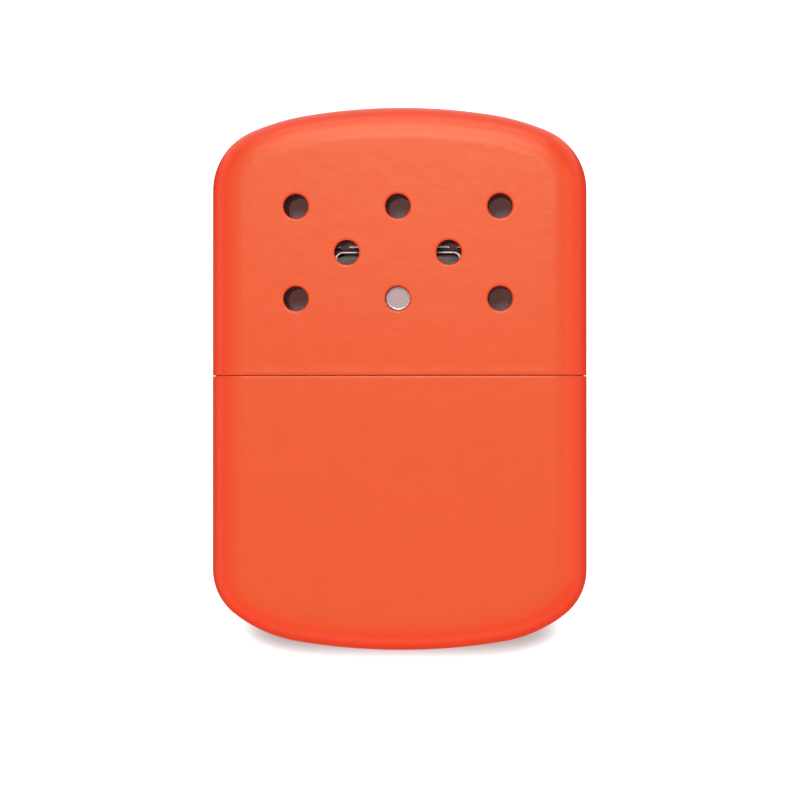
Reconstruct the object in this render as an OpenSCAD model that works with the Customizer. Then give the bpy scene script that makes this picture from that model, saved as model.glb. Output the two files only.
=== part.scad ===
// Catalytic hand warmer: a two-part drawn case, a fuel tank packed with cotton, and a burner.
// It lies on its back. X is its width, +Y runs up to the lid's crown, Z is its thickness.
// The origin is under the middle of the case, on the surface that it lies on.

/* [Case] */
// Width across the straight sides
case_w = 69.8; // [66:0.1:74]
// Thickness from the back face to the front face
case_t = 12.7; // [12.2:0.1:15]
// Radius of the rounding that runs round both faces
edge_r = 6; // [4.5:0.1:6]
// Thickness of the coated sheet of both halves
shell_wall = 0.5; // [0.4:0.05:0.8]
// Gap that shows between the closed lid and the base
seam_gap = 0.15; // [0.1:0.05:0.4]

/* [Lid] */
// Length of the lid, from its open edge to its crown
lid_len = 50; // [48:0.05:58]
// Radius of its shallow crown
lid_crown_r = 108.5; // [90:0.5:130]
// Radius of its shoulders, next to the crown
lid_shoulder_r = 43; // [36:0.5:48]
// Radius of its corners, next to the straight sides
lid_corner_r = 12; // [10:0.1:14]
// Angle that the crown takes up to each side of the middle
lid_crown_a = 9.2; // [6:0.1:11]

/* [Base] */
// Length of the base, from its open edge to its foot
base_len = 51.05; // [46:0.05:64]
// Radius of its shallow foot
base_foot_r = 115; // [95:0.5:140]
// Radius of its shoulders, next to the foot
base_shoulder_r = 26.3; // [24:0.1:34]
// Radius of its corners, next to the straight sides
base_corner_r = 10.6; // [9:0.1:12]
// Angle that the foot takes up to each side of the middle
base_foot_a = 9.6; // [6:0.1:11]

/* [Vents] */
// Diameter of each vent
vent_d = 4.6; // [3:0.1:5.5]
// Distance between vents in a row
vent_pitch = 18.9; // [14:0.1:20]
// Distance between rows
vent_row = 8.55; // [6:0.05:9]
// Height of the lowest row above the lid's open edge
vent_low = 14.15; // [12:0.05:18]

/* [Tank] */
// Thickness of the tank top's sheet
top_wall = 0.4; // [0.3:0.05:0.6]
// How far the tank top stands above the base, inside the lid
collar_h = 8; // [6:0.1:9]
// How far the tank top reaches down into the base
collar_depth = 5; // [3:0.1:10]
// Radius of the tank top's upper edge
collar_r = 1.2; // [0.8:0.1:2]

/* [Neck] */
// Width of the filler neck
neck_w = 21; // [16:0.1:22]
// Thickness of the filler neck
neck_t = 6.6; // [6:0.1:7]
// Height of the neck above the tank top
neck_h = 7; // [6:0.1:8]
// Thickness of the neck's wall
neck_wall = 0.4; // [0.3:0.05:0.5]

/* [Burner] */
// Width of the burner's two pressed halves, without their flange
burner_w = 26; // [25:0.1:30]
// Thickness of the burner
burner_t = 9.4; // [9:0.1:10.4]
// Height of the burner, from its open foot to its top
burner_h = 15.1; // [14.4:0.1:17]
// Thickness of its sheet
burner_wall = 0.35; // [0.25:0.05:0.5]
// Radius of its upper corners
burner_corner_r = 2.6; // [1.6:0.1:4]
// Radius of the bend round each half's face
burner_bend_r = 0.9; // [0.6:0.1:1.4]
// Width of the flange where the halves meet
flange_w = 0.9; // [0.6:0.1:1.4]
// Distance from the middle to each notch in the upper flange
notch_x = 10.1; // [6:0.1:11]
// Width of each notch
notch_w = 1.5; // [1:0.1:3]
// Height of each window over the mat
window_h = 2.2; // [1.6:0.1:2.4]
// Height of the bar between the windows
bar_h = 0.6; // [0.4:0.1:1]
// Width of each window
window_w = 22.6; // [16:0.1:23.4]
// How far the mat lies behind each half's sheet
mat_recess = 0.9; // [0.3:0.1:1.5]

/* [Clearances] */
// Between the tank top and the two case halves, all round
collar_clear = 0.08; // [0.05:0.01:0.1]
// Between the neck and the socket that slides on it
neck_clear = 0.06; // [0.04:0.01:0.1]
// Between pieces that are soldered together
solder_clear = 0.02; // [0.01:0.01:0.05]
// Between a part that moves and what it would strike, and round the cotton and the mat
free_clear = 0.3; // [0.2:0.05:0.5]

/* [Hidden] */
$fn = 96;
// Overshoot of a cut past an open end, and overlap of forms that make one solid
cut = 1;
lap = 1;
// Step to which a placement is rounded first
place_step = 0.01;
case_hw = case_w / 2;
mid_z = case_t / 2;
case_len = lid_len + seam_gap + base_len;
// Open edges of the base and of the lid
base_y = base_len - case_len / 2;
lid_y = base_y + seam_gap;
// An outline is [end radius, shoulder radius, corner radius, end angle]
lid_outline = [lid_crown_r, lid_shoulder_r, lid_corner_r, lid_crown_a];
base_outline = [base_foot_r, base_shoulder_r, base_corner_r, base_foot_a];
// Three rows of vents, from the lowest: three, two and three
vent_rows = [[-1, 0, 1], [-0.5, 0.5], [-1, 0, 1]];
// Tank top: distance of its outer face from the case's outer face, and its upper face
top_inset = shell_wall + collar_clear;
top_y = base_y + collar_h;
neck_y = top_y + neck_h;
// The neck's foot flange reaches as far out as the tank top is flat
neck_flange = (case_t - neck_t) / 2 - top_inset - collar_r;
// Burner: its foot, its top, and the thickness of one half
burner_y = top_y + free_clear;
burner_top = burner_y + burner_h;
half_t = burner_t / 2;
// Lower edges of the two windows, above the burner's foot. A bar's height is left above each.
windows = [for (i = [1, 2]) burner_h - i * (window_h + bar_h)];
// Socket: its sleeve is as long as the neck, and its plate carries the mat
socket_wall = burner_wall;
socket_in_w = neck_w + 2 * neck_clear;
socket_in_t = neck_t + 2 * neck_clear;
socket_y = neck_y + free_clear;
mat_y = socket_y + socket_wall;
// Mat: it keeps clear of the two pressed halves, and lies deeper behind the windows
mat_h = burner_top - burner_wall - free_clear - mat_y;
mat_w = burner_w - 2 * burner_wall - 2 * free_clear;
mat_t = burner_t - 2 * burner_wall - 2 * mat_recess;
mat_corner_r = burner_corner_r - burner_wall - free_clear;

// Angle at which the shoulder arc hands over to the corner arc, so that the sides come out tangent
function shoulder_a(o) = asin((case_hw - o[2] - (o[0] - o[1]) * sin(o[3])) / (o[1] - o[2]));

// Centres of the three arcs of an end that reaches up to y = len
function end_centre(len, o) = [0, len - o[0]];
function shoulder_centre(len, o) = end_centre(len, o) + (o[0] - o[1]) * [sin(o[3]), cos(o[3])];
function corner_centre(len, o) =
    shoulder_centre(len, o) + (o[1] - o[2]) * [sin(shoulder_a(o)), cos(shoulder_a(o))];

// Point at an angle off the Y axis and a distance from a centre
function polar(centre, dist, a) = centre + dist * [sin(a), cos(a)];

// Moves in a round step and a small one, so that tangent arcs meet without a step
module shift(v) {
    round_v = [for (c = v) round(c / place_step) * place_step];
    translate(round_v)
        translate(v - round_v)
            children();
}

// Section of a case that reaches out to x = reach, from x = 0, with its rounded rim
module rim_section(reach, inset) {
    r = edge_r - inset;
    x_round = reach - edge_r;
    translate([0, inset])
        square([x_round, case_t - 2 * inset]);
    translate([x_round, edge_r])
        square([r, case_t - 2 * edge_r]);
    for (y = [edge_r, case_t - edge_r])
        translate([x_round, y])
            intersection() {
                circle(r);
                translate([0, -r])
                    square([r, 2 * r]);
            }
}

// Rounded disc under one arc of the outline
module rim_disc(centre, reach, inset) {
    shift([centre[0], centre[1], 0])
        rotate_extrude()
            rim_section(reach, inset);
}

// What a shape leaves free of the space over a part of the plan
module outside_of(plan) {
    difference() {
        translate([0, 0, -cut])
            linear_extrude(case_t + 2 * cut)
                polygon(plan);
        children();
    }
}

// Half of the case as a solid, shrunk by inset, from y = -tail up to its end.
// It starts as the disc under the crown. The discs under the shoulders and the corners trim it
// outwards of the lines through the arcs' centres, and the straight sides trim what is left.
// Each disc lies inside the one before, so the parts of the plan may overlap.
module case_solid(len, o, inset, tail) {
    c_end = end_centre(len, o);
    c_side = shoulder_centre(len, o);
    c_corner = corner_centre(len, o);
    out_end = polar(c_side, o[0], o[3]);
    out_side = polar(c_corner, o[0], shoulder_a(o));
    wide = o[0] + cut;
    difference() {
        intersection() {
            rim_disc(c_end, o[0], inset);
            translate([-wide, -tail, -cut])
                cube([2 * wide, len + tail + cut, case_t + 2 * cut]);
        }
        for (m = [0, 1])
            mirror([m, 0, 0]) {
                outside_of([c_side, out_end, [wide, out_end[1]], [wide, c_corner[1]], c_corner])
                    rim_disc(c_side, o[1], inset);
                outside_of([c_corner, out_side, [wide, out_side[1]], [wide, c_corner[1]]])
                    rim_disc(c_corner, o[2], inset);
                outside_of([
                    [c_corner[0], -tail - cut], [wide, -tail - cut], [wide, len], [c_corner[0], len]
                ])
                    translate([0, len + cut, 0])
                        rotate([90, 0, 0])
                            linear_extrude(len + tail + 3 * cut)
                                rim_section(case_hw, inset);
            }
    }
}

// Drawn cup: the case solid hollowed by its wall
module case_cup(len, o) {
    difference() {
        case_solid(len, o, 0, 0);
        case_solid(len, o, shell_wall, cut);
    }
}

// Block with rounded corners and a rounded upper edge, standing on z = 0
module soft_block(w, l, h, corner_r, top_r) {
    x = w / 2 - corner_r;
    y = l / 2 - corner_r;
    for (sx = [-1, 1], sy = [-1, 1])
        translate([sx * x, sy * y, 0])
            rotate_extrude()
                post_section(corner_r, h, top_r);
    if (y > 0)
        rotate([90, 0, 0])
            linear_extrude(2 * y, center = true)
                wall_section(w / 2, h, top_r);
    if (x > 0)
        rotate([90, 0, 90])
            linear_extrude(2 * x, center = true)
                wall_section(l / 2, h, top_r);
}

// Right half of a section whose upper outer corner is rounded
module post_section(half_w, h, top_r) {
    square([half_w, h - top_r]);
    square([half_w - top_r, h]);
    translate([half_w - top_r, h - top_r])
        intersection() {
            circle(top_r);
            square(top_r);
        }
}

// Both halves of that section
module wall_section(half_w, h, top_r) {
    post_section(half_w, h, top_r);
    mirror([1, 0, 0])
        post_section(half_w, h, top_r);
}

// Flat oval tube or plug, standing on z = 0
module oval(w, t, h) {
    linear_extrude(h) {
        square([w - t, t], center = true);
        for (x = [-1, 1])
            translate([x * (w - t) / 2, 0])
                circle(t / 2);
    }
}

// Turns a piece that stands on z = 0 to stand on a height y in the middle of the case
module stand_at(y) {
    translate([0, y, mid_z])
        rotate([-90, 0, 0])
            children();
}

module vents() {
    for (row = [0:2], x = vent_rows[row])
        translate([x * vent_pitch, vent_low + row * vent_row, -cut])
            cylinder(d = vent_d, h = case_t + 2 * cut);
}

module lid_shell() {
    color("orangered")
        translate([0, lid_y, 0])
            difference() {
                case_cup(lid_len, lid_outline);
                vents();
            }
}

module base_shell() {
    color("tomato")
        translate([0, base_y, 0])
            mirror([0, 1, 0])
                case_cup(base_len, base_outline);
}

// Drawn cap, closed end up. Its wall is the collar that the lid slides on.
module tank_top() {
    h = collar_h + collar_depth;
    r = edge_r - top_inset;
    color("silver")
        difference() {
            stand_at(base_y - collar_depth)
                soft_block(case_w - 2 * top_inset, case_t - 2 * top_inset, h, r, collar_r);
            stand_at(base_y - collar_depth - cut)
                soft_block(
                    case_w - 2 * (top_inset + top_wall), case_t - 2 * (top_inset + top_wall),
                    h + cut - top_wall, r - top_wall, collar_r - top_wall
                );
            stand_at(top_y - top_wall - cut)
                oval(neck_w + 2 * solder_clear, neck_t + 2 * solder_clear, top_wall + 2 * cut);
        }
}

// Neck tube with a foot flange under the tank top
module filler_neck() {
    foot_y = top_y - top_wall - solder_clear - neck_wall;
    color("gainsboro")
        difference() {
            union() {
                stand_at(foot_y)
                    oval(neck_w, neck_t, neck_y - foot_y);
                stand_at(foot_y)
                    oval(neck_w + 2 * neck_flange, neck_t + 2 * neck_flange, neck_wall);
            }
            stand_at(foot_y - cut)
                oval(neck_w - 2 * neck_wall, neck_t - 2 * neck_wall, neck_y - foot_y + 2 * cut);
        }
}

// Cotton that fills the base and the tank top, and shows in the neck's foot
module cotton_wadding() {
    wide = shell_wall + free_clear;
    slim = top_inset + top_wall + free_clear;
    low_y = base_y - collar_depth - free_clear;
    high_y = top_y - top_wall - solder_clear - neck_wall - free_clear;
    plug = neck_wall + free_clear;
    color("whitesmoke") {
        translate([0, base_y, 0])
            mirror([0, 1, 0])
                case_solid(base_len, base_outline, wide, low_y - base_y);
        stand_at(low_y - lap)
            soft_block(
                case_w - 2 * slim, case_t - 2 * slim, high_y - low_y + lap,
                edge_r - slim, collar_r
            );
        stand_at(high_y - lap)
            oval(neck_w - 2 * plug, neck_t - 2 * plug, top_y - high_y + lap);
    }
}

// One pressed half of the burner, with its open foot at y = 0 and its face up
module burner_half() {
    inner_w = burner_w - 2 * burner_wall;
    difference() {
        union() {
            half_pan(burner_w, burner_h, half_t, burner_corner_r, burner_bend_r);
            flange_plate(burner_w + 2 * flange_w, burner_h + flange_w, burner_corner_r + flange_w);
        }
        translate([0, -cut, -cut])
            half_pan(
                inner_w, burner_h - burner_wall + cut, half_t - burner_wall + cut,
                burner_corner_r - burner_wall, burner_bend_r - burner_wall
            );
        for (y = windows)
            translate([0, y + window_h / 2, -cut])
                oval(window_w, window_h, half_t + 2 * cut);
        for (x = [-notch_x, notch_x])
            translate([x - notch_w / 2, burner_h, -cut])
                cube([notch_w, flange_w + cut, burner_wall + 2 * cut]);
    }
}

// Block with a rounded face and rounded upper corners, cut off straight at y = 0
module half_pan(w, h, t, corner_r, bend_r) {
    intersection() {
        soft_block(w, 2 * h, t, corner_r, bend_r);
        translate([-w, 0, -cut])
            cube([2 * w, 2 * h, t + 2 * cut]);
    }
}

// Flat flange round the sides and the top
module flange_plate(w, h, corner_r) {
    intersection() {
        linear_extrude(burner_wall) {
            square([w - 2 * corner_r, 2 * h], center = true);
            square([w, 2 * (h - corner_r)], center = true);
            for (x = [-1, 1])
                translate([x * (w / 2 - corner_r), h - corner_r])
                    circle(corner_r);
        }
        translate([-w, 0, -cut])
            cube([2 * w, 2 * h, burner_wall + 2 * cut]);
    }
}

module burner_front() {
    color("lightsteelblue")
        translate([0, burner_y, mid_z])
            burner_half();
}

module burner_back() {
    color("lightslategray")
        translate([0, burner_y, mid_z])
            mirror([0, 0, 1])
                burner_half();
}

// Sleeve that slides on the neck, and the plate on top of it that carries the mat
module neck_socket() {
    plate_w = burner_w - 2 * burner_wall;
    plate_t = burner_t - 2 * burner_wall;
    plate_r = burner_bend_r - burner_wall;
    rim_r = plate_r / 4;
    mouth_w = neck_w - 2 * neck_wall;
    mouth_t = neck_t - 2 * neck_wall;
    color("darkgray")
        difference() {
            union() {
                stand_at(burner_y)
                    oval(
                        socket_in_w + 2 * socket_wall, socket_in_t + 2 * socket_wall,
                        mat_y - burner_y
                    );
                stand_at(socket_y)
                    soft_block(plate_w, plate_t, socket_wall, plate_r, rim_r);
            }
            stand_at(burner_y - cut)
                oval(socket_in_w, socket_in_t, socket_y - burner_y + cut);
            stand_at(socket_y - cut)
                oval(mouth_w, mouth_t, socket_wall + 2 * cut);
        }
}

// Folded glass-fibre mat, its upper corners rounded as the housing's are
module catalyst_mat() {
    color("dimgray")
        translate([0, mat_y, mid_z])
            for (m = [0, 1])
                mirror([0, 0, m])
                    half_pan(
                        mat_w, mat_h, mat_t / 2, mat_corner_r, burner_bend_r - burner_wall
                    );
}

lid_shell();
base_shell();
tank_top();
filler_neck();
cotton_wadding();
burner_front();
burner_back();
neck_socket();
catalyst_mat();
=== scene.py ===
"""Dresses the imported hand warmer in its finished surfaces, lights it and sets its camera."""

import math

import bmesh
import bpy
from bpy.props import FloatProperty, FloatVectorProperty, IntProperty, PointerProperty
from bpy.types import Operator, Panel, PropertyGroup
from mathutils import Matrix, Vector, noise


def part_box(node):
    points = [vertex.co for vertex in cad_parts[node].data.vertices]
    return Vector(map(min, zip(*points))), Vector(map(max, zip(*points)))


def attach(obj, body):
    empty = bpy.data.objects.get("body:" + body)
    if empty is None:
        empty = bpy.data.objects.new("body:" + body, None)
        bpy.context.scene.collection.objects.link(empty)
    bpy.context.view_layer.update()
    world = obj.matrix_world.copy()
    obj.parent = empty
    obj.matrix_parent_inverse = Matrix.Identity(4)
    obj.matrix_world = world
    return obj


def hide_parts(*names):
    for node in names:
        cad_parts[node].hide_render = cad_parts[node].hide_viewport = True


bl_info = {
    "name": "Catalytic Hand Warmer",
    "version": (1, 0, 0),
    "blender": (4, 5, 0),
    "location": "View3D > Sidebar > Hand Warmer",
    "description": "Surfaces, lights and camera for the packed hand warmer",
    "category": "Object",
}

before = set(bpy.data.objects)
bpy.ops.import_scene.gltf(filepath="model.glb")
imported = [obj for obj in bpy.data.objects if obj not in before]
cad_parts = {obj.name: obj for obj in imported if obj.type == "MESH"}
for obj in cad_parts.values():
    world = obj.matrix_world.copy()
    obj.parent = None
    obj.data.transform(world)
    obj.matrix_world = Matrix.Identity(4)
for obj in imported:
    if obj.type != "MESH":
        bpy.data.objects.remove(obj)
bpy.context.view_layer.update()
MM = 0.001
# Points closer than this are one point
TINY = 1e-6
# Width of the flat strip beside each rounding and vent, which keeps the face's shading even
BAND = 0.5 * MM
# The case's two faces, half of its width and of its length
BACK_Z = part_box("lid_shell")[0].z
FRONT_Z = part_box("lid_shell")[1].z
MID_Z = (BACK_Z + FRONT_Z) / 2
HALF_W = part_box("lid_shell")[1].x
HALF_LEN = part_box("lid_shell")[1].y


def srgb(code):
    """Linear colour of an sRGB hex code."""
    channels = [int(code[i:i + 2], 16) / 255 for i in (0, 2, 4)]
    return [c / 12.92 if c <= 0.04045 else ((c + 0.055) / 1.055) ** 2.4 for c in channels]


def length(name, description, millimetres):
    """A length that a user can change."""
    return FloatProperty(
        name=name, description=description, default=millimetres * MM,
        unit="LENGTH", precision=5, step=0.01,
    )


def colour(name, description, code):
    """A colour that a user can change."""
    return FloatVectorProperty(
        name=name, description=description, default=srgb(code), size=3,
        subtype="COLOR", min=0, max=1,
    )


class CaseSettings(PropertyGroup):
    """Sizes and colours of the drawn case."""

    edge_r: length("Edge radius", "Rounding that runs round both faces", 6)
    wall: length("Wall", "Thickness of the coated sheet", 0.5)
    lid_crown_r: length("Lid crown", "Radius of the lid's shallow crown", 108.5)
    lid_shoulder_r: length("Lid shoulder", "Radius next to the crown", 43)
    lid_corner_r: length("Lid corner", "Radius next to the straight sides", 12)
    lid_crown_a: FloatProperty(
        name="Lid crown angle", description="Half of the angle that the crown takes up",
        default=math.radians(9.2), subtype="ANGLE",
    )
    foot_r: length("Foot", "Radius of the base's shallow foot", 115)
    foot_shoulder_r: length("Foot shoulder", "Radius next to the foot", 26.3)
    foot_corner_r: length("Foot corner", "Radius next to the straight sides", 10.6)
    foot_a: FloatProperty(
        name="Foot angle", description="Half of the angle that the foot takes up",
        default=math.radians(9.6), subtype="ANGLE",
    )
    vent_d: length("Vent", "Diameter of each vent", 4.6)
    vent_pitch: length("Vent pitch", "Distance between vents in a row", 18.9)
    vent_row: length("Vent rows", "Distance between rows", 8.55)
    vent_low: length("Lowest vents", "Height of the lowest row above the lid's edge", 14.15)
    vent_soft: length("Vent rounding", "Rounding that the coat gives each vent's rim", 0.32)
    rim_soft: length("Rim rounding", "Rounding that the coat gives the lid's rim", 0.11)
    base_soft: length("Base rounding", "Rounding that the coat gives the base's rim", 0.06)
    inner_soft: length("Inner rounding", "Rounding of the sheet's edges inside the case", 0.08)
    waist: length("Waist", "How far the lid is drawn in just above its rim", 0.03)
    coat_end: length("Coat's end", "How far the coat reaches up the collar", 0.4)
    # From this slope on, the coat has its full painted edge shade
    coat_turn: FloatProperty(
        name="Coat turn", description="Slope from which the coat has its edge colour",
        default=math.radians(34), subtype="ANGLE",
    )
    coat: colour("Coat", "Powder coat on the faces", "F35227")
    # The edge colour is painted shade: a deeper coat colour laid over the rounded edges
    coat_edge_shade: colour(
        "Coat at edges", "Powder coat deepened by painted shade over the rounding", "EB3306"
    )


class BurnerSettings(PropertyGroup):
    """Sizes of the pressed burner and of the neck that it sits on."""

    soft: length("Eased edges", "Rounding of the sheet's cut edges", 0.06)
    ring_d: length("Ring", "Diameter of the ring pressed into each plate", 4.16)
    ring_w: length("Ring width", "Width of the ring's bead", 0.44)
    ring_h: length("Ring height", "Height of the ring's bead above the plate", 0.05)
    ring_y: length("Ring place", "Middle of the ring along the case", 14.82)
    neck_soft: length("Neck's edges", "Rounding of the neck's edges", 0.12)


class FillingSettings(PropertyGroup):
    """Sizes of the catalyst mat and the cotton."""

    plies: IntProperty(
        name="Plies", description="Layers of felt that the mat is folded into", default=4, min=1
    )
    groove: length("Groove", "Depth of the grooves between plies", 0.5)
    felt: length("Felt", "Mean depth of the felt's unevenness", 0.1)
    sag: length("Sag", "How far the mat has settled at its top", 0.45)
    mat_net: length("Mat net", "Face size of the mat's mesh", 0.28)
    tuft: length("Tufts", "Mean depth of the cotton's unevenness", 0.45)
    cotton_net: length("Cotton net", "Face size of the cotton's mesh", 1.1)


class StageSettings(PropertyGroup):
    """The camera and the lights."""

    camera_x: length("Camera X", "Camera's place across the case", 28)
    camera_y: length("Camera Y", "Camera's place along the case", -7.6)
    camera_height: length("Camera height", "Camera's height over the front face", 580)
    aim_x: length("Aim X", "Point in the middle of the picture, across", 0.42)
    aim_y: length("Aim Y", "Point in the middle of the picture, along", -4.02)
    view_width: length("View width", "Width that the picture takes in", 147.8)
    sky: FloatProperty(
        name="Sky", description="Light from the white room", default=0.78, min=0, max=1,
    )
    lamps: FloatProperty(
        name="Lamps", description="Share of the lamps' power", default=1, min=0, soft_max=2,
    )


def set_inputs(tree, node, inputs):
    """Sets each input to a value, or links it to the output socket that feeds it."""
    for name, value in inputs.items():
        if isinstance(value, bpy.types.NodeSocket):
            tree.links.new(value, node.inputs[name])
        else:
            node.inputs[name].default_value = value


def add_node(tree, kind, inputs=None, **settings):
    """Adds a shader node. An input is a value, or the output socket that feeds it."""
    node = tree.nodes.new("ShaderNode" + kind)
    for name, value in settings.items():
        setattr(node, name, value)
    set_inputs(tree, node, inputs or {})
    return node


def calculate(tree, operation, first, second=None, **settings):
    """Result of an operation on one or two values."""
    inputs = {0: first} if second is None else {0: first, 1: second}
    return add_node(tree, "Math", inputs, operation=operation, **settings).outputs["Value"]


def remap(tree, value, given=(0, 1), wanted=(0, 1), curve="LINEAR"):
    """Moves a value from a given range to the wanted one, and keeps it inside."""
    inputs = {
        "Value": value, "From Min": given[0], "From Max": given[1],
        "To Min": wanted[0], "To Max": wanted[1],
    }
    return add_node(tree, "MapRange", inputs, interpolation_type=curve).outputs["Result"]


def blend(tree, share, first, second):
    """Mixes two colours by a share that goes from 0 to 1."""
    inputs = {"Fac": share, "Color1": first, "Color2": second}
    return add_node(tree, "MixRGB", inputs).outputs["Color"]


def pattern(tree, place, millimetres, detail, distortion=0):
    """Noise that repeats about once in that many millimetres."""
    inputs = {
        "Vector": place, "Scale": 1 / (millimetres * MM), "Detail": detail,
        "Distortion": distortion,
    }
    return add_node(tree, "TexNoise", inputs).outputs["Fac"]


def stretch(tree, place, scale):
    """Draws a pattern out along each axis whose scale is under 1."""
    return add_node(tree, "Mapping", {"Vector": place, "Scale": scale}).outputs["Vector"]


def bump(tree, height, strength, millimetres, over=None):
    """Relief of that depth, laid over another one where it is given."""
    inputs = {"Height": height, "Strength": strength, "Distance": millimetres * MM}
    if over is not None:
        inputs["Normal"] = over
    return add_node(tree, "Bump", inputs).outputs["Normal"]


def opaque(code):
    """Colour of an sRGB hex code for a shader's input."""
    return (*srgb(code), 1)


def new_material(name):
    """An empty material, its shader and the point that it shades."""
    material = bpy.data.materials.new(name)
    material.use_nodes = True
    tree = material.node_tree
    tree.nodes.clear()
    shader = add_node(tree, "BsdfPrincipled")
    add_node(tree, "OutputMaterial", {"Surface": shader.outputs["BSDF"]})
    place = add_node(tree, "TexCoord").outputs["Object"]
    return material, tree, shader, place


def powder_coat(settings):
    """Satin orange powder coat on drawn steel.

    The melted powder leaves a fine orange peel, about 0.8 mm across, which breaks up the sheen,
    and slow swells about 4 mm wide. Its colour is a little darker in patches about 5 mm wide.
    Over the rounded edges a deeper colour is painted in as shade. Its sheen is slightly warm.
    """
    material, tree, shader, place = new_material("powder_coat_orange")
    # The rounding mask lays painted shade over the rounded edges, in the deeper edge colour
    slope = add_node(tree, "Attribute", attribute_name="rounding").outputs["Fac"]
    darker = [c * 0.95 for c in settings.coat]
    face = blend(tree, pattern(tree, place, 5, 3), (*settings.coat, 1), (*darker, 1))
    swells = bump(tree, pattern(tree, place, 4, 1), 0.6, 0.1)
    set_inputs(tree, shader, {
        "Base Color": blend(tree, slope, face, (*settings.coat_edge_shade, 1)),
        "Normal": bump(tree, pattern(tree, place, 0.8, 2), 0.6, 0.04, swells),
        "Roughness": 0.34,
        "Specular Tint": (1, 1, 0.66, 1),
    })
    return material


def bare_sheet():
    """Drawn steel inside the case: heat-browned, with a thin mist of the coat blown onto it.

    It has faint draw lines along Y, 0.3 mm apart, and the mist lies in patches about 6 mm wide.
    """
    material, tree, shader, place = new_material("drawn_steel_inside")
    lines = pattern(tree, stretch(tree, place, (1, 0.06, 1)), 0.3, 3)
    steel = blend(tree, lines, opaque("AC8680"), opaque("C49E96"))
    mist = remap(tree, pattern(tree, place, 6, 4), (0.35, 0.7), (0, 0.7))
    set_inputs(tree, shader, {
        "Base Color": blend(tree, mist, steel, opaque("DA5A40")),
        "Roughness": remap(tree, lines, wanted=(0.45, 0.6)),
        "Metallic": 0.4,
    })
    return material


def satin_steel():
    """Satin stamped steel of the burner. Fine grain across X spreads its highlights.

    Heat has tinted it, most of all the flange, deepest in the lid; that dark is partly painted
    shade of the recess between the plates. The flange's edge, the bend at the top and, by a
    share, the raised rings carry a painted highlight in a bright bluish steel.
    """
    material, tree, shader, place = new_material("satin_stamped_steel")
    grain = pattern(tree, stretch(tree, place, (0.05, 1, 1)), 0.15, 3)
    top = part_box("burner_front")[1]
    axes = add_node(tree, "SeparateXYZ", {"Vector": place}).outputs
    off_mid = calculate(tree, "ABSOLUTE", calculate(tree, "SUBTRACT", axes["Z"], MID_Z))
    # Heat tint and painted shade run from the flange, in the middle, out to the plates
    deep = remap(tree, off_mid, (1 * MM, 3.2 * MM), (1, 0), "SMOOTHSTEP")
    # The flange's top edge is kept out of the tint and shade, so the painted highlight shows
    # there
    flange_edge = calculate(tree, "GREATER_THAN", axes["Y"], top.y - 0.3 * MM)
    heat_tint_and_shade = calculate(tree, "SUBTRACT", deep, flange_edge, use_clamp=True)
    # Painted highlight: all over the bend, and by a share on the rings, which stand out from the
    # plates
    bend = calculate(tree, "GREATER_THAN", axes["Y"], top.y - 1.4 * MM)
    ring = calculate(tree, "GREATER_THAN", off_mid, top.z - MID_Z + 0.01 * MM)
    painted_highlight = calculate(tree, "MAXIMUM", bend, calculate(tree, "MULTIPLY", ring, 0.22))
    dull = blend(tree, grain, opaque("958180"), opaque("A4908F"))
    # Steel with the painted highlight on the bend, the flange's edge and the rings
    bare = blend(tree, painted_highlight, dull, opaque("E6E6EC"))
    set_inputs(tree, shader, {
        "Base Color": blend(tree, heat_tint_and_shade, bare, opaque("4A2A26")),
        "Roughness": remap(tree, grain, wanted=(0.26, 0.4)),
        "Metallic": 1,
    })
    return material


def bright_plate(settings):
    """Bright plated steel of the tank top and neck, with the drawn sheet's faint ripple.

    The ripples are about 2.5 mm wide. The case's coat ends on the collar, in a line just above
    the base's rim. It shows in the seam, in the coat's colour with painted edge shade.
    """
    material, tree, shader, place = new_material("bright_plated_steel")
    ripple = pattern(tree, place, 2.5, 2)
    height = add_node(tree, "SeparateXYZ", {"Vector": place}).outputs["Y"]
    coat_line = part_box("base_shell")[1].y + settings.coat_end
    bare = calculate(tree, "GREATER_THAN", height, coat_line)
    plate = blend(tree, ripple, opaque("A6A6A9"), opaque("BAB9B8"))
    set_inputs(tree, shader, {
        # Below the coat's line the collar takes the deep edge colour, painted shade in the seam
        "Base Color": blend(tree, bare, (*settings.coat_edge_shade, 1), plate),
        "Metallic": bare,
        "Roughness": remap(tree, ripple, wanted=(0.3, 0.4)),
        "Normal": bump(tree, ripple, 0.4, 0.02),
    })
    return material


def fibre(name, dark, light, stain, strand):
    """Matted fibres: crossing streaks one strand wide, rough and without a highlight.

    Stains lie in patches ten strands wide.
    """
    material, tree, shader, place = new_material(name)
    across, along = (
        pattern(tree, stretch(tree, place, scale), strand, 3, 1.2)
        for scale in ((1, 0.12, 1), (0.12, 1, 1))
    )
    streaks = calculate(tree, "MAXIMUM", across, along)
    clean = blend(tree, streaks, opaque(dark), opaque(light))
    stained = remap(tree, pattern(tree, place, 10 * strand, 3), (0.45, 0.75), (0, 0.6))
    set_inputs(tree, shader, {
        "Base Color": blend(tree, stained, clean, opaque(stain)),
        "Normal": bump(tree, streaks, 0.8, strand / 2),
        "Roughness": 0.9,
        "Sheen Weight": 0.3,
    })
    return material


def power(tree, value, whole, exponent):
    """Size of a coordinate as a part of a length, raised to a power."""
    size = calculate(tree, "ABSOLUTE", calculate(tree, "DIVIDE", value, whole))
    return calculate(tree, "POWER", size, exponent)


def mirrored(tree, path):
    """1 for a ray that a shiny or clear surface sends on, otherwise 0."""
    return calculate(tree, "MAXIMUM", path["Is Glossy Ray"], path["Is Transmission Ray"])


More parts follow.
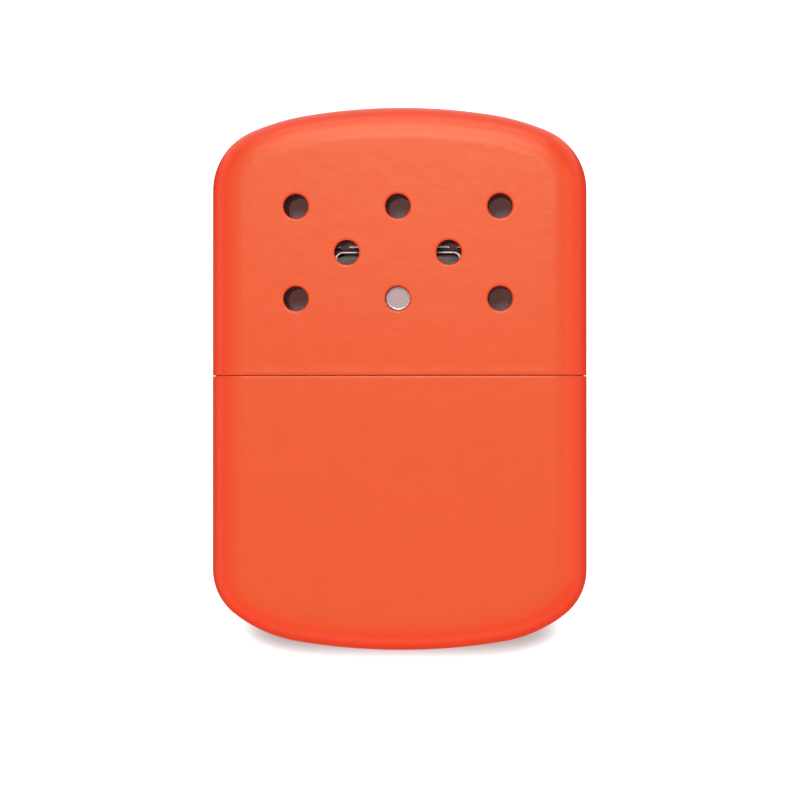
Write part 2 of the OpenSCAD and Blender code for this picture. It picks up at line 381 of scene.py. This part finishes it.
def table_white():
    """White table. Its own white reaches the camera and mirrors, and it keeps the shadow.

    The rounded outline of the case is close to |x/a|^5.5 + |y/b|^5.5 = 1. The table's own white
    starts at that line, and a little further out along the foot, where the shadow shows; closer
    in the table is darker, a painted shade on top of the real shadow. In mirrors it starts behind
    the crown, and about 30 mm away on the other sides. Closer in, they see a painted dark contact
    shadow.
    """
    material, tree, shader, place = new_material("white_table")
    # The light that falls beside the orange case is warm, so the table is slightly cool
    set_inputs(tree, shader, {
        "Base Color": (0.58, 0.71, 0.72, 1), "Roughness": 0.9, "Specular IOR Level": 0,
    })
    lit = shader.outputs["BSDF"]
    path = add_node(tree, "LightPath").outputs
    axes = add_node(tree, "SeparateXYZ", {"Vector": place}).outputs
    outline = calculate(
        tree, "ADD", power(tree, axes["X"], HALF_W, 5.5), power(tree, axes["Y"], HALF_LEN, 5.5)
    )
    # Along the foot the painted shade reaches further out
    above_foot = remap(tree, axes["Y"], (-49.5 * MM, -42 * MM), (0, 0.5), "SMOOTHSTEP")
    out = calculate(tree, "ADD", outline, above_foot)
    beyond = remap(tree, out, (0.86, 1.5), curve="SMOOTHSTEP")
    # Under the case's edge the table's white gives way to a faint warm emission, painted light
    # for what the case throws on the table; the table is darker there, painted shade on top of
    # the real shadow
    painted_glow_and_white = blend(tree, beyond, (0.075, 0.02, 0.016, 1), (1, 1, 1, 1))
    faint = add_node(tree, "Emission", {"Color": painted_glow_and_white}).outputs["Emission"]
    own = add_node(tree, "AddShader", {0: lit, 1: faint}).outputs["Shader"]
    camera = add_node(tree, "MixShader", {"Fac": path["Is Camera Ray"], 1: lit, 2: own})
    reach_end = 40
    behind_crown = remap(tree, axes["Y"], (44 * MM, 52 * MM), (0, reach_end - 1))
    reach = calculate(tree, "ADD", outline, behind_crown)
    far = remap(tree, reach, (1, reach_end), (0.1, 1), "SMOOTHSTEP")
    # In mirrors the table is dark close to the case, a painted contact shadow, and white further
    # out
    white = add_node(tree, "Emission", {"Strength": far}).outputs["Emission"]
    shown = add_node(
        tree, "MixShader", {"Fac": mirrored(tree, path), 1: camera.outputs["Shader"], 2: white}
    )
    end = next(n for n in tree.nodes if n.type == "OUTPUT_MATERIAL")
    set_inputs(tree, end, {"Surface": shown.outputs["Shader"]})
    return material


class Outline:
    """Three tangent arcs from the Y axis to the straight side, for an end that points up Y."""

    def __init__(self, end_y, end_r, shoulder_r, corner_r, end_a):
        self.radii = (end_r, shoulder_r, corner_r)
        # Angle at which the shoulder's arc goes over into the corner's
        hand_over = math.asin(
            (HALF_W - corner_r - (end_r - shoulder_r) * math.sin(end_a)) / (shoulder_r - corner_r)
        )
        self.angles = (0, end_a, hand_over, math.pi / 2)
        centre = Vector((0, end_y - end_r, 0))
        self.centres = [centre]
        for i in (1, 2):
            a = self.angles[i]
            step = self.radii[i - 1] - self.radii[i]
            centre = centre + step * Vector((math.sin(a), math.cos(a), 0))
            self.centres.append(centre)


def verts_of(parts):
    """Points among the parts of a mesh."""
    return [v for v in parts if isinstance(v, bmesh.types.BMVert)]


def edges_of(parts):
    """Edges among the parts of a mesh."""
    return [e for e in parts if isinstance(e, bmesh.types.BMEdge)]


def pull(bm, parts, offset):
    """Extrudes a point or a chain of edges by an offset and returns what is at its far end."""
    edges = edges_of(parts)
    if edges:
        far = bmesh.ops.extrude_edge_only(bm, edges=edges)["geom"]
        far = [g for g in far if not isinstance(g, bmesh.types.BMFace)]
    else:
        made = bmesh.ops.extrude_vert_indiv(bm, verts=verts_of(parts))
        far = made["verts"]
    bmesh.ops.translate(bm, vec=offset, verts=verts_of(far))
    return far


def swing(bm, parts, centre, axis, angle, steps):
    """Spins a point or a chain of edges and returns what is at its far end."""
    return bmesh.ops.spin(
        bm, geom=parts, cent=centre, axis=axis, dvec=(0, 0, 0), angle=angle, steps=steps,
        use_merge=False, use_normal_flip=False, use_duplicate=False,
    )["geom_last"]


def rim_chain(bm, reach_y, edge_r):
    """Section of the rounded rim over the Y axis: face, rounding, side, rounding, face."""
    turn_y = reach_y - edge_r
    steps = 12
    tip = [bm.verts.new((0, turn_y - BAND, FRONT_Z))]
    tip = pull(bm, tip, (0, BAND, 0))
    tip = swing(bm, tip, (0, turn_y, FRONT_Z - edge_r), (1, 0, 0), -math.pi / 2, steps)
    tip = pull(bm, tip, (0, 0, BACK_Z - FRONT_Z + 2 * edge_r))
    tip = swing(bm, tip, (0, turn_y, BACK_Z + edge_r), (1, 0, 0), -math.pi / 2, steps)
    pull(bm, tip, (0, -BAND, 0))
    return list(bm.verts) + list(bm.edges)


def ring_at(bm, y, z=None):
    """Edges of the open boundary at a height y, or at a height z above that y."""
    def on(v):
        if z is None:
            return abs(v.co.y - y) < TINY
        return abs(v.co.z - z) < TINY and v.co.y > y - TINY
    return [e for e in bm.edges if len(e.link_faces) < 2 and all(on(v) for v in e.verts)]


def join_ends(bm, y, z):
    """Closes the open side of a face with one edge across it."""
    ends = [v for v in bm.verts if abs(v.co.y - y) < TINY and abs(v.co.z - z) < TINY]
    ends.sort(key=lambda v: abs(v.co.x))
    bmesh.ops.contextual_create(bm, geom=ends[:2])


def smooth_piece(bm, name, body, materials):
    """Makes the finished mesh an object that rides on its body."""
    mesh = bpy.data.meshes.new(name)
    bm.to_mesh(mesh)
    bm.free()
    mesh.shade_smooth()
    mesh.set_sharp_from_angle(angle=math.radians(40))
    piece = bpy.data.objects.new(name, mesh)
    bpy.context.scene.collection.objects.link(piece)
    for material in materials:
        mesh.materials.append(material)
    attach(piece, body)
    return piece


def drawn_cup(end_y, radii, end_a, open_y, steps_down, vents, settings):
    """Coated cup of one case half, its end up Y and its open rim at open_y.

    steps_down lists the rim's last rows as (height above the rim, how far the faces sit in).
    """
    bm = bmesh.new()
    outline = Outline(end_y, *radii, end_a)
    chain = rim_chain(bm, end_y, settings.edge_r)
    # The end, the shoulder and the corner, each with steps about 1 mm long
    for i, steps in enumerate((14, 14, 18)):
        turn = outline.angles[i + 1] - outline.angles[i]
        chain = swing(bm, chain, outline.centres[i], (0, 0, 1), -turn, steps)
    shelf_y = open_y + steps_down[0][0]
    pull(bm, chain, (0, shelf_y - outline.centres[2].y, 0))
    bmesh.ops.mirror(bm, geom=bm.verts[:] + bm.edges[:] + bm.faces[:], merge_dist=TINY, axis="X")
    bmesh.ops.remove_doubles(bm, verts=bm.verts[:], dist=TINY)
    vent_r = settings.vent_d / 2
    vent_rings = []
    for z in (FRONT_Z, BACK_Z):
        join_ends(bm, shelf_y, z)
        edges = ring_at(bm, shelf_y, z)
        for x, y in vents:
            place = Matrix.Translation((x, y, z))
            made = bmesh.ops.create_circle(
                bm, cap_ends=False, radius=vent_r + BAND, segments=64, matrix=place
            )["verts"]
            circle = list({e for v in made for e in v.link_edges})
            edges += circle
            vent_rings.append((circle, place))
        bmesh.ops.triangle_fill(bm, use_beauty=True, use_dissolve=False, edges=edges)
    shrink = vent_r / (vent_r + BAND)
    for circle, place in vent_rings:
        inner = verts_of(bmesh.ops.extrude_edge_only(bm, edges=circle)["geom"])
        bmesh.ops.scale(bm, vec=(shrink, shrink, 1), space=place.inverted(), verts=inner)
    ring = ring_at(bm, shelf_y)
    y, sunk = shelf_y, steps_down[0][1]
    for rise, sink in steps_down[1:]:
        ring = pull(bm, ring, (0, open_y + rise - y, 0))
        squeeze = [
            (half - sink) / (half - sunk) for half in (HALF_W, (FRONT_Z - BACK_Z) / 2)
        ]
        bmesh.ops.scale(
            bm, vec=(squeeze[0], 1, squeeze[1]), space=Matrix.Translation((0, 0, -MID_Z)),
            verts=verts_of(ring),
        )
        ring = edges_of(ring)
        y, sunk = open_y + rise, sink
    bmesh.ops.recalc_face_normals(bm, faces=bm.faces[:])
    return bm


def give_wall(bm, settings, open_y, rim_soft):
    """Turns the skin into sheet, inwards, and rounds the coat over its open edges."""
    skin = set(bm.faces)
    bmesh.ops.solidify(bm, geom=bm.faces[:], thickness=settings.wall)
    edging = {
        f for f in bm.faces
        if f not in skin and any(g in skin for e in f.edges for g in e.link_faces)
    }
    for f in bm.faces:
        f.material_index = int(f not in skin and f not in edging)
    outer = [e for f in edging for e in f.edges if any(g in skin for g in e.link_faces)]
    inner = [
        e for f in edging for e in f.edges
        if any(g not in skin and g not in edging for g in e.link_faces)
    ]
    rim = [e for e in outer if all(abs(v.co.y - open_y) < TINY for v in e.verts)]
    vents = [e for e in outer if e not in rim]
    for edges, soft, segments in (
        (vents, settings.vent_soft, 4), (rim, rim_soft, 3), (inner, settings.inner_soft, 2),
    ):
        edges = [e for e in edges if e.is_valid]
        if edges:
            bmesh.ops.bevel(
                bm, geom=edges, offset=soft, offset_type="OFFSET", segments=segments,
                profile=0.5, affect="EDGES", material=-1, clamp_overlap=True,
            )


def mark_rounding(bm, steep):
    """Stores how far each point is round the edge: 0 on the faces, 1 from the steep angle on."""
    # This mask sets where the coat's painted edge shade lies
    layer = bm.verts.layers.float.new("rounding")
    bm.normal_update()
    for v in bm.verts:
        v[layer] = min(1, (1 - abs(v.normal.z)) / (1 - math.cos(steep)))


class WARMER_OT_lid_case(Operator):
    """Makes the vented lid with rounded vents and a slightly waisted rim"""

    bl_idname = "warmer.lid_case"
    bl_label = "Lid Case"

    def execute(self, context):
        s = context.scene.warmer_case
        low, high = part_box("lid_shell")
        vents = [
            (x * s.vent_pitch, low.y + s.vent_low + row * s.vent_row)
            for row, places in enumerate(((-1, 0, 1), (-0.5, 0.5), (-1, 0, 1)))
            for x in places
        ]
        rows = [(4 * MM, 0), (2.4 * MM, s.waist / 2), (1.2 * MM, s.waist), (0.7 * MM, 0), (0, 0)]
        bm = drawn_cup(
            high.y, (s.lid_crown_r, s.lid_shoulder_r, s.lid_corner_r), s.lid_crown_a, low.y,
            rows, vents, s,
        )
        give_wall(bm, s, low.y, s.rim_soft)
        mark_rounding(bm, s.coat_turn)
        piece = smooth_piece(
            bm, "lid_case", "lid", [powder_coat(s), bare_sheet()]
        )
        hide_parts("lid_shell")
        return {"FINISHED"}


class WARMER_OT_base_case(Operator):
    """Makes the base, the drawn cup that holds the tank"""

    bl_idname = "warmer.base_case"
    bl_label = "Base Case"

    def execute(self, context):
        s = context.scene.warmer_case
        low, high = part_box("base_shell")
        bm = drawn_cup(
            -low.y, (s.foot_r, s.foot_shoulder_r, s.foot_corner_r), s.foot_a, -high.y,
            [(4 * MM, 0), (0.6 * MM, 0), (0, 0)], [], s,
        )
        bmesh.ops.scale(bm, vec=(1, -1, 1), verts=bm.verts[:])
        bmesh.ops.reverse_faces(bm, faces=bm.faces[:])
        give_wall(bm, s, high.y, s.base_soft)
        mark_rounding(bm, s.coat_turn)
        coat = bpy.data.materials.get("powder_coat_orange") or powder_coat(s)
        steel = bpy.data.materials.get("drawn_steel_inside") or bare_sheet()
        piece = smooth_piece(bm, "base_case", "base", [coat, steel])
        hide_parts("base_shell")
        return {"FINISHED"}


def finish_node(name, material):
    """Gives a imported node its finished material."""
    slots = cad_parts[name].data.materials
    slots.clear()
    slots.append(material)


def eased_copy(node, soft):
    """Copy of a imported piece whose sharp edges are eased, as tumbling leaves pressed sheet."""
    bm = bmesh.new()
    bm.from_mesh(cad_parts[node].data)
    bmesh.ops.remove_doubles(bm, verts=bm.verts[:], dist=TINY)
    bmesh.ops.dissolve_limit(
        bm, angle_limit=math.radians(0.5), use_dissolve_boundaries=False,
        verts=bm.verts[:], edges=bm.edges[:],
    )
    sharp = [e for e in bm.edges if e.is_manifold and e.calc_face_angle() > math.radians(35)]
    bmesh.ops.bevel(
        bm, geom=sharp, offset=soft, offset_type="OFFSET", segments=2, profile=0.5,
        affect="EDGES", material=-1, clamp_overlap=True,
    )
    return bm


class WARMER_OT_tank_top(Operator):
    """Finishes the tank top and makes the neck with its rim eased"""

    bl_idname = "warmer.tank_top"
    bl_label = "Tank Top and Neck"

    def execute(self, context):
        plate = bright_plate(context.scene.warmer_case)
        soft = context.scene.warmer_burner.neck_soft
        finish_node("tank_top", plate)
        piece = smooth_piece(
            eased_copy("filler_neck", soft), "neck_tube", "base", [plate]
        )
        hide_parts("filler_neck")
        return {"FINISHED"}


def weigh_normals(piece):
    """Keeps wide flat faces flat up to their eased edges."""
    piece.modifiers.new("flat_faces", "WEIGHTED_NORMAL").keep_sharp = True


def add_ring(bm, settings, plate_z):
    """Adds the bead of the ring that is pressed into a plate."""
    made = bmesh.ops.create_circle(
        bm, cap_ends=False, radius=1, segments=12,
        matrix=Matrix.Translation((settings.ring_d / 2, settings.ring_y, plate_z))
        @ Matrix.Rotation(math.pi / 2, 4, "X")
        @ Matrix.Diagonal((settings.ring_w / 2, settings.ring_h, 1, 1)),
    )["verts"]
    section = made + list({e for v in made for e in v.link_edges})
    before = set(bm.faces)
    bmesh.ops.spin(
        bm, geom=section, cent=(0, settings.ring_y, 0), axis=(0, 0, 1), dvec=(0, 0, 0),
        angle=2 * math.pi, steps=96, use_merge=True, use_normal_flip=False, use_duplicate=False,
    )
    bmesh.ops.recalc_face_normals(bm, faces=[f for f in bm.faces if f not in before])


class WARMER_OT_burner(Operator):
    """Makes the two pressed halves of the burner and the socket inside them"""

    bl_idname = "warmer.burner"
    bl_label = "Burner"

    def execute(self, context):
        s = context.scene.warmer_burner
        steel = satin_steel()
        for node, name, plate_z in (
            ("burner_front", "pressed_front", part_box("burner_front")[1].z),
            ("burner_back", "pressed_back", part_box("burner_back")[0].z),
        ):
            bm = eased_copy(node, s.soft)
            add_ring(bm, s, plate_z)
            piece = smooth_piece(bm, name, "burner", [steel])
            weigh_normals(piece)
            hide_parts(node)
        piece = smooth_piece(
            eased_copy("neck_socket", s.soft), "drawn_socket", "burner", [steel]
        )
        weigh_normals(piece)
        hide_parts("neck_socket")
        return {"FINISHED"}


def even_net(node, voxel):
    """Mesh of small even faces over a packed soft solid."""
    bm = bmesh.new()
    bm.from_mesh(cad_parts[node].data)
    bmesh.ops.remove_doubles(bm, verts=bm.verts[:], dist=TINY)
    mesh = bpy.data.meshes.new("solid")
    bm.to_mesh(mesh)
    bm.free()
    solid = bpy.data.objects.new("solid", mesh)
    bpy.context.scene.collection.objects.link(solid)
    remesh = solid.modifiers.new("remesh", "REMESH")
    remesh.mode = "VOXEL"
    remesh.voxel_size = voxel
    net = bpy.data.meshes.new_from_object(
        solid.evaluated_get(bpy.context.evaluated_depsgraph_get())
    )
    bpy.data.objects.remove(solid)
    bpy.data.meshes.remove(mesh)
    bm = bmesh.new()
    bm.from_mesh(net)
    bpy.data.meshes.remove(net)
    return bm


def press_in(bm, depth_at):
    """Moves each point inwards by a depth that depends on its place and its normal."""
    bm.normal_update()
    moves = [(v, v.normal * max(0, depth_at(v.co, v.normal))) for v in bm.verts]
    for v, move in moves:
        v.co -= move


def lumps(place, size, octaves=3):
    """Smooth random relief from about -1 to 1, its swells as wide as size."""
    return noise.fractal(place / size, 1.0, 2.0, octaves)


def soften(piece):
    """Rounds the net once more."""
    smooth = piece.modifiers.new("smooth", "SUBSURF")
    smooth.levels = smooth.render_levels = 1


class WARMER_OT_mat(Operator):
    """Makes the catalyst mat, one strip of glass-fibre felt folded to and fro"""

    bl_idname = "warmer.mat"
    bl_label = "Catalyst Mat"

    def execute(self, context):
        s = context.scene.warmer_filling
        low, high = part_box("catalyst_mat")
        ply = (high.z - low.z) / s.plies

        def depth(place, normal):
            # Each ply bulges between two grooves, which run round the ends, foot and top
            round_ply = math.sqrt(abs(math.sin(math.pi * (place.z - low.z) / ply)))
            groove = s.groove * (1 - round_ply) * (1 - normal.z ** 2)
            return groove + s.sag * max(0, normal.y) + s.felt * (
                1 + 0.9 * lumps(place, 2.2 * MM) + 0.5 * lumps(place, 0.6 * MM, 2)
            )

        bm = even_net("catalyst_mat", s.mat_net)
        press_in(bm, depth)
        piece = smooth_piece(
            bm, "folded_mat", "burner",
            [fibre("catalyst_glass_fibre", "6B6260", "B4A8A4", "575150", 0.35)],
        )
        soften(piece)
        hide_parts("catalyst_mat")
        return {"FINISHED"}


class WARMER_OT_cotton(Operator):
    """Makes the lumpy cotton that is packed into the tank"""

    bl_idname = "warmer.cotton"
    bl_label = "Cotton"

    def execute(self, context):
        s = context.scene.warmer_filling
        bm = even_net("cotton_wadding", s.cotton_net)
        press_in(bm, lambda place, normal: s.tuft * (
            1 + 0.9 * lumps(place, 11 * MM) + 0.5 * lumps(place, 3 * MM, 2)
        ))
        piece = smooth_piece(
            bm, "packed_cotton", "base",
            [fibre("loose_cotton", "D8D4C8", "F2F0E8", "DDD6C4", 0.3)],
        )
        soften(piece)
        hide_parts("cotton_wadding")
        return {"FINISHED"}


# Each lamp: name, place and size in metres, watts, if it lights the colour, if it gives sheen.
# The first four give the coat its sheen. The low ones keep the rounded sides as bright as the
# faces, as the white walls and table of a photographer's light tent do.
LAMPS = (
    ("sheen_box", (-0.012, 0.21, 0.6), (0.05, 0.18), 0.77, True, True),
    ("crown_box", (0, 0.42, 0.4), (0.4, 0.3), 1.5, False, True),
    ("crown_strip", (0, 0.6, 0.13), (0.6, 0.2), 0.9, False, True),
    ("right_box", (0.5, 0.05, 0.3), (0.5, 0.3), 0.46, False, True),
    ("low_right", (0.58, 0, 0.1), (0.5, 0.15), 1.0, True, False),
    ("low_left", (-0.58, 0, 0.1), (0.5, 0.15), 1.08, True, False),
    ("low_foot", (0, -0.58, 0.1), (0.5, 0.15), 1.45, True, False),
    ("low_crown", (0, 0.58, 0.1), (0.5, 0.15), 0.8, True, False),
)


def add_lamp(name, place, aim, size, watts):
    """Soft rectangular lamp that faces a point."""
    data = bpy.data.lights.new(name, "AREA")
    data.shape = "RECTANGLE"
    data.size, data.size_y = size
    data.energy = watts
    lamp = bpy.data.objects.new(name, data)
    lamp.location = place
    lamp.rotation_euler = (Vector(aim) - Vector(place)).to_track_quat("-Z", "Y").to_euler()
    bpy.context.scene.collection.objects.link(lamp)
    return lamp


def add_table():
    """White table that the case lies on."""
    bm = bmesh.new()
    bmesh.ops.create_grid(bm, x_segments=1, y_segments=1, size=2)
    bmesh.ops.translate(bm, vec=(0, 0, BACK_Z), verts=bm.verts)
    mesh = bpy.data.meshes.new("table")
    bm.to_mesh(mesh)
    bm.free()
    mesh.materials.append(table_white())
    table = bpy.data.objects.new("table", mesh)
    bpy.context.scene.collection.objects.link(table)


def white_room(sky):
    """White all round: pure white to the camera and in mirrors, and that share of it as light."""
    world = bpy.data.worlds.new("white_room")
    world.use_nodes = True
    tree = world.node_tree
    tree.nodes.clear()
    path = add_node(tree, "LightPath").outputs
    seen = calculate(tree, "MAXIMUM", path["Is Camera Ray"], mirrored(tree, path))
    room = add_node(tree, "Background", {"Strength": remap(tree, seen, wanted=(sky, 1))})
    add_node(tree, "OutputWorld", {"Surface": room.outputs["Background"]})
    return world


def add_camera(settings):
    """Camera over the case, turned towards its aim with its picture's foot along X."""
    data = bpy.data.cameras.new("camera")
    camera = bpy.data.objects.new("camera", data)
    eye = Vector((settings.camera_x, settings.camera_y, FRONT_Z + settings.camera_height))
    aim = Vector((settings.aim_x, settings.aim_y, FRONT_Z))
    look = (aim - eye).normalized()
    camera.location = eye
    camera.rotation_euler = (math.asin(look.y), math.atan2(-look.x, -look.z), 0)
    data.lens = data.sensor_width * (aim - eye).length / settings.view_width
    bpy.context.scene.collection.objects.link(camera)
    return camera


class WARMER_OT_stage(Operator):
    """Makes the white table, the lights and the camera"""

    bl_idname = "warmer.stage"
    bl_label = "Stage"

    def execute(self, context):
        s = context.scene.warmer_stage
        scene = context.scene
        add_table()
        scene.world = white_room(s.sky)
        for name, place, size, watts, colours, sheen in LAMPS:
            lamp = add_lamp(name, place, (0, 0, FRONT_Z), size, watts * s.lamps)
            lamp.visible_diffuse = colours
            lamp.visible_glossy = sheen
        scene.camera = add_camera(s)
        scene.view_settings.view_transform = "Standard"
        return {"FINISHED"}


class WARMER_PT_panel(Panel):
    """Sizes, colours and steps of the hand warmer"""

    bl_label = "Hand Warmer"
    bl_idname = "WARMER_PT_panel"
    bl_space_type = "VIEW_3D"
    bl_region_type = "UI"
    bl_category = "Hand Warmer"

    def draw(self, context):
        layout = self.layout
        scene = context.scene
        for group in (
            scene.warmer_case, scene.warmer_burner, scene.warmer_filling, scene.warmer_stage,
        ):
            for name in group.__annotations__:
                layout.prop(group, name)
        for step in STEPS:
            layout.operator(step.bl_idname)


STEPS = (
    WARMER_OT_lid_case, WARMER_OT_base_case, WARMER_OT_tank_top, WARMER_OT_burner,
    WARMER_OT_mat, WARMER_OT_cotton, WARMER_OT_stage,
)
GROUPS = {
    "warmer_case": CaseSettings, "warmer_burner": BurnerSettings,
    "warmer_filling": FillingSettings, "warmer_stage": StageSettings,
}
CLASSES = (*GROUPS.values(), *STEPS, WARMER_PT_panel)


def register():
    for cls in CLASSES:
        bpy.utils.register_class(cls)
    for name, group in GROUPS.items():
        setattr(bpy.types.Scene, name, PointerProperty(type=group))


def unregister():
    for name in GROUPS:
        delattr(bpy.types.Scene, name)
    for cls in reversed(CLASSES):
        bpy.utils.unregister_class(cls)


def main():
    register()
    bpy.ops.warmer.lid_case()
    bpy.ops.warmer.base_case()
    bpy.ops.warmer.tank_top()
    bpy.ops.warmer.burner()
    bpy.ops.warmer.mat()
    bpy.ops.warmer.cotton()
    bpy.ops.warmer.stage()


if __name__ == "__main__":
    main()
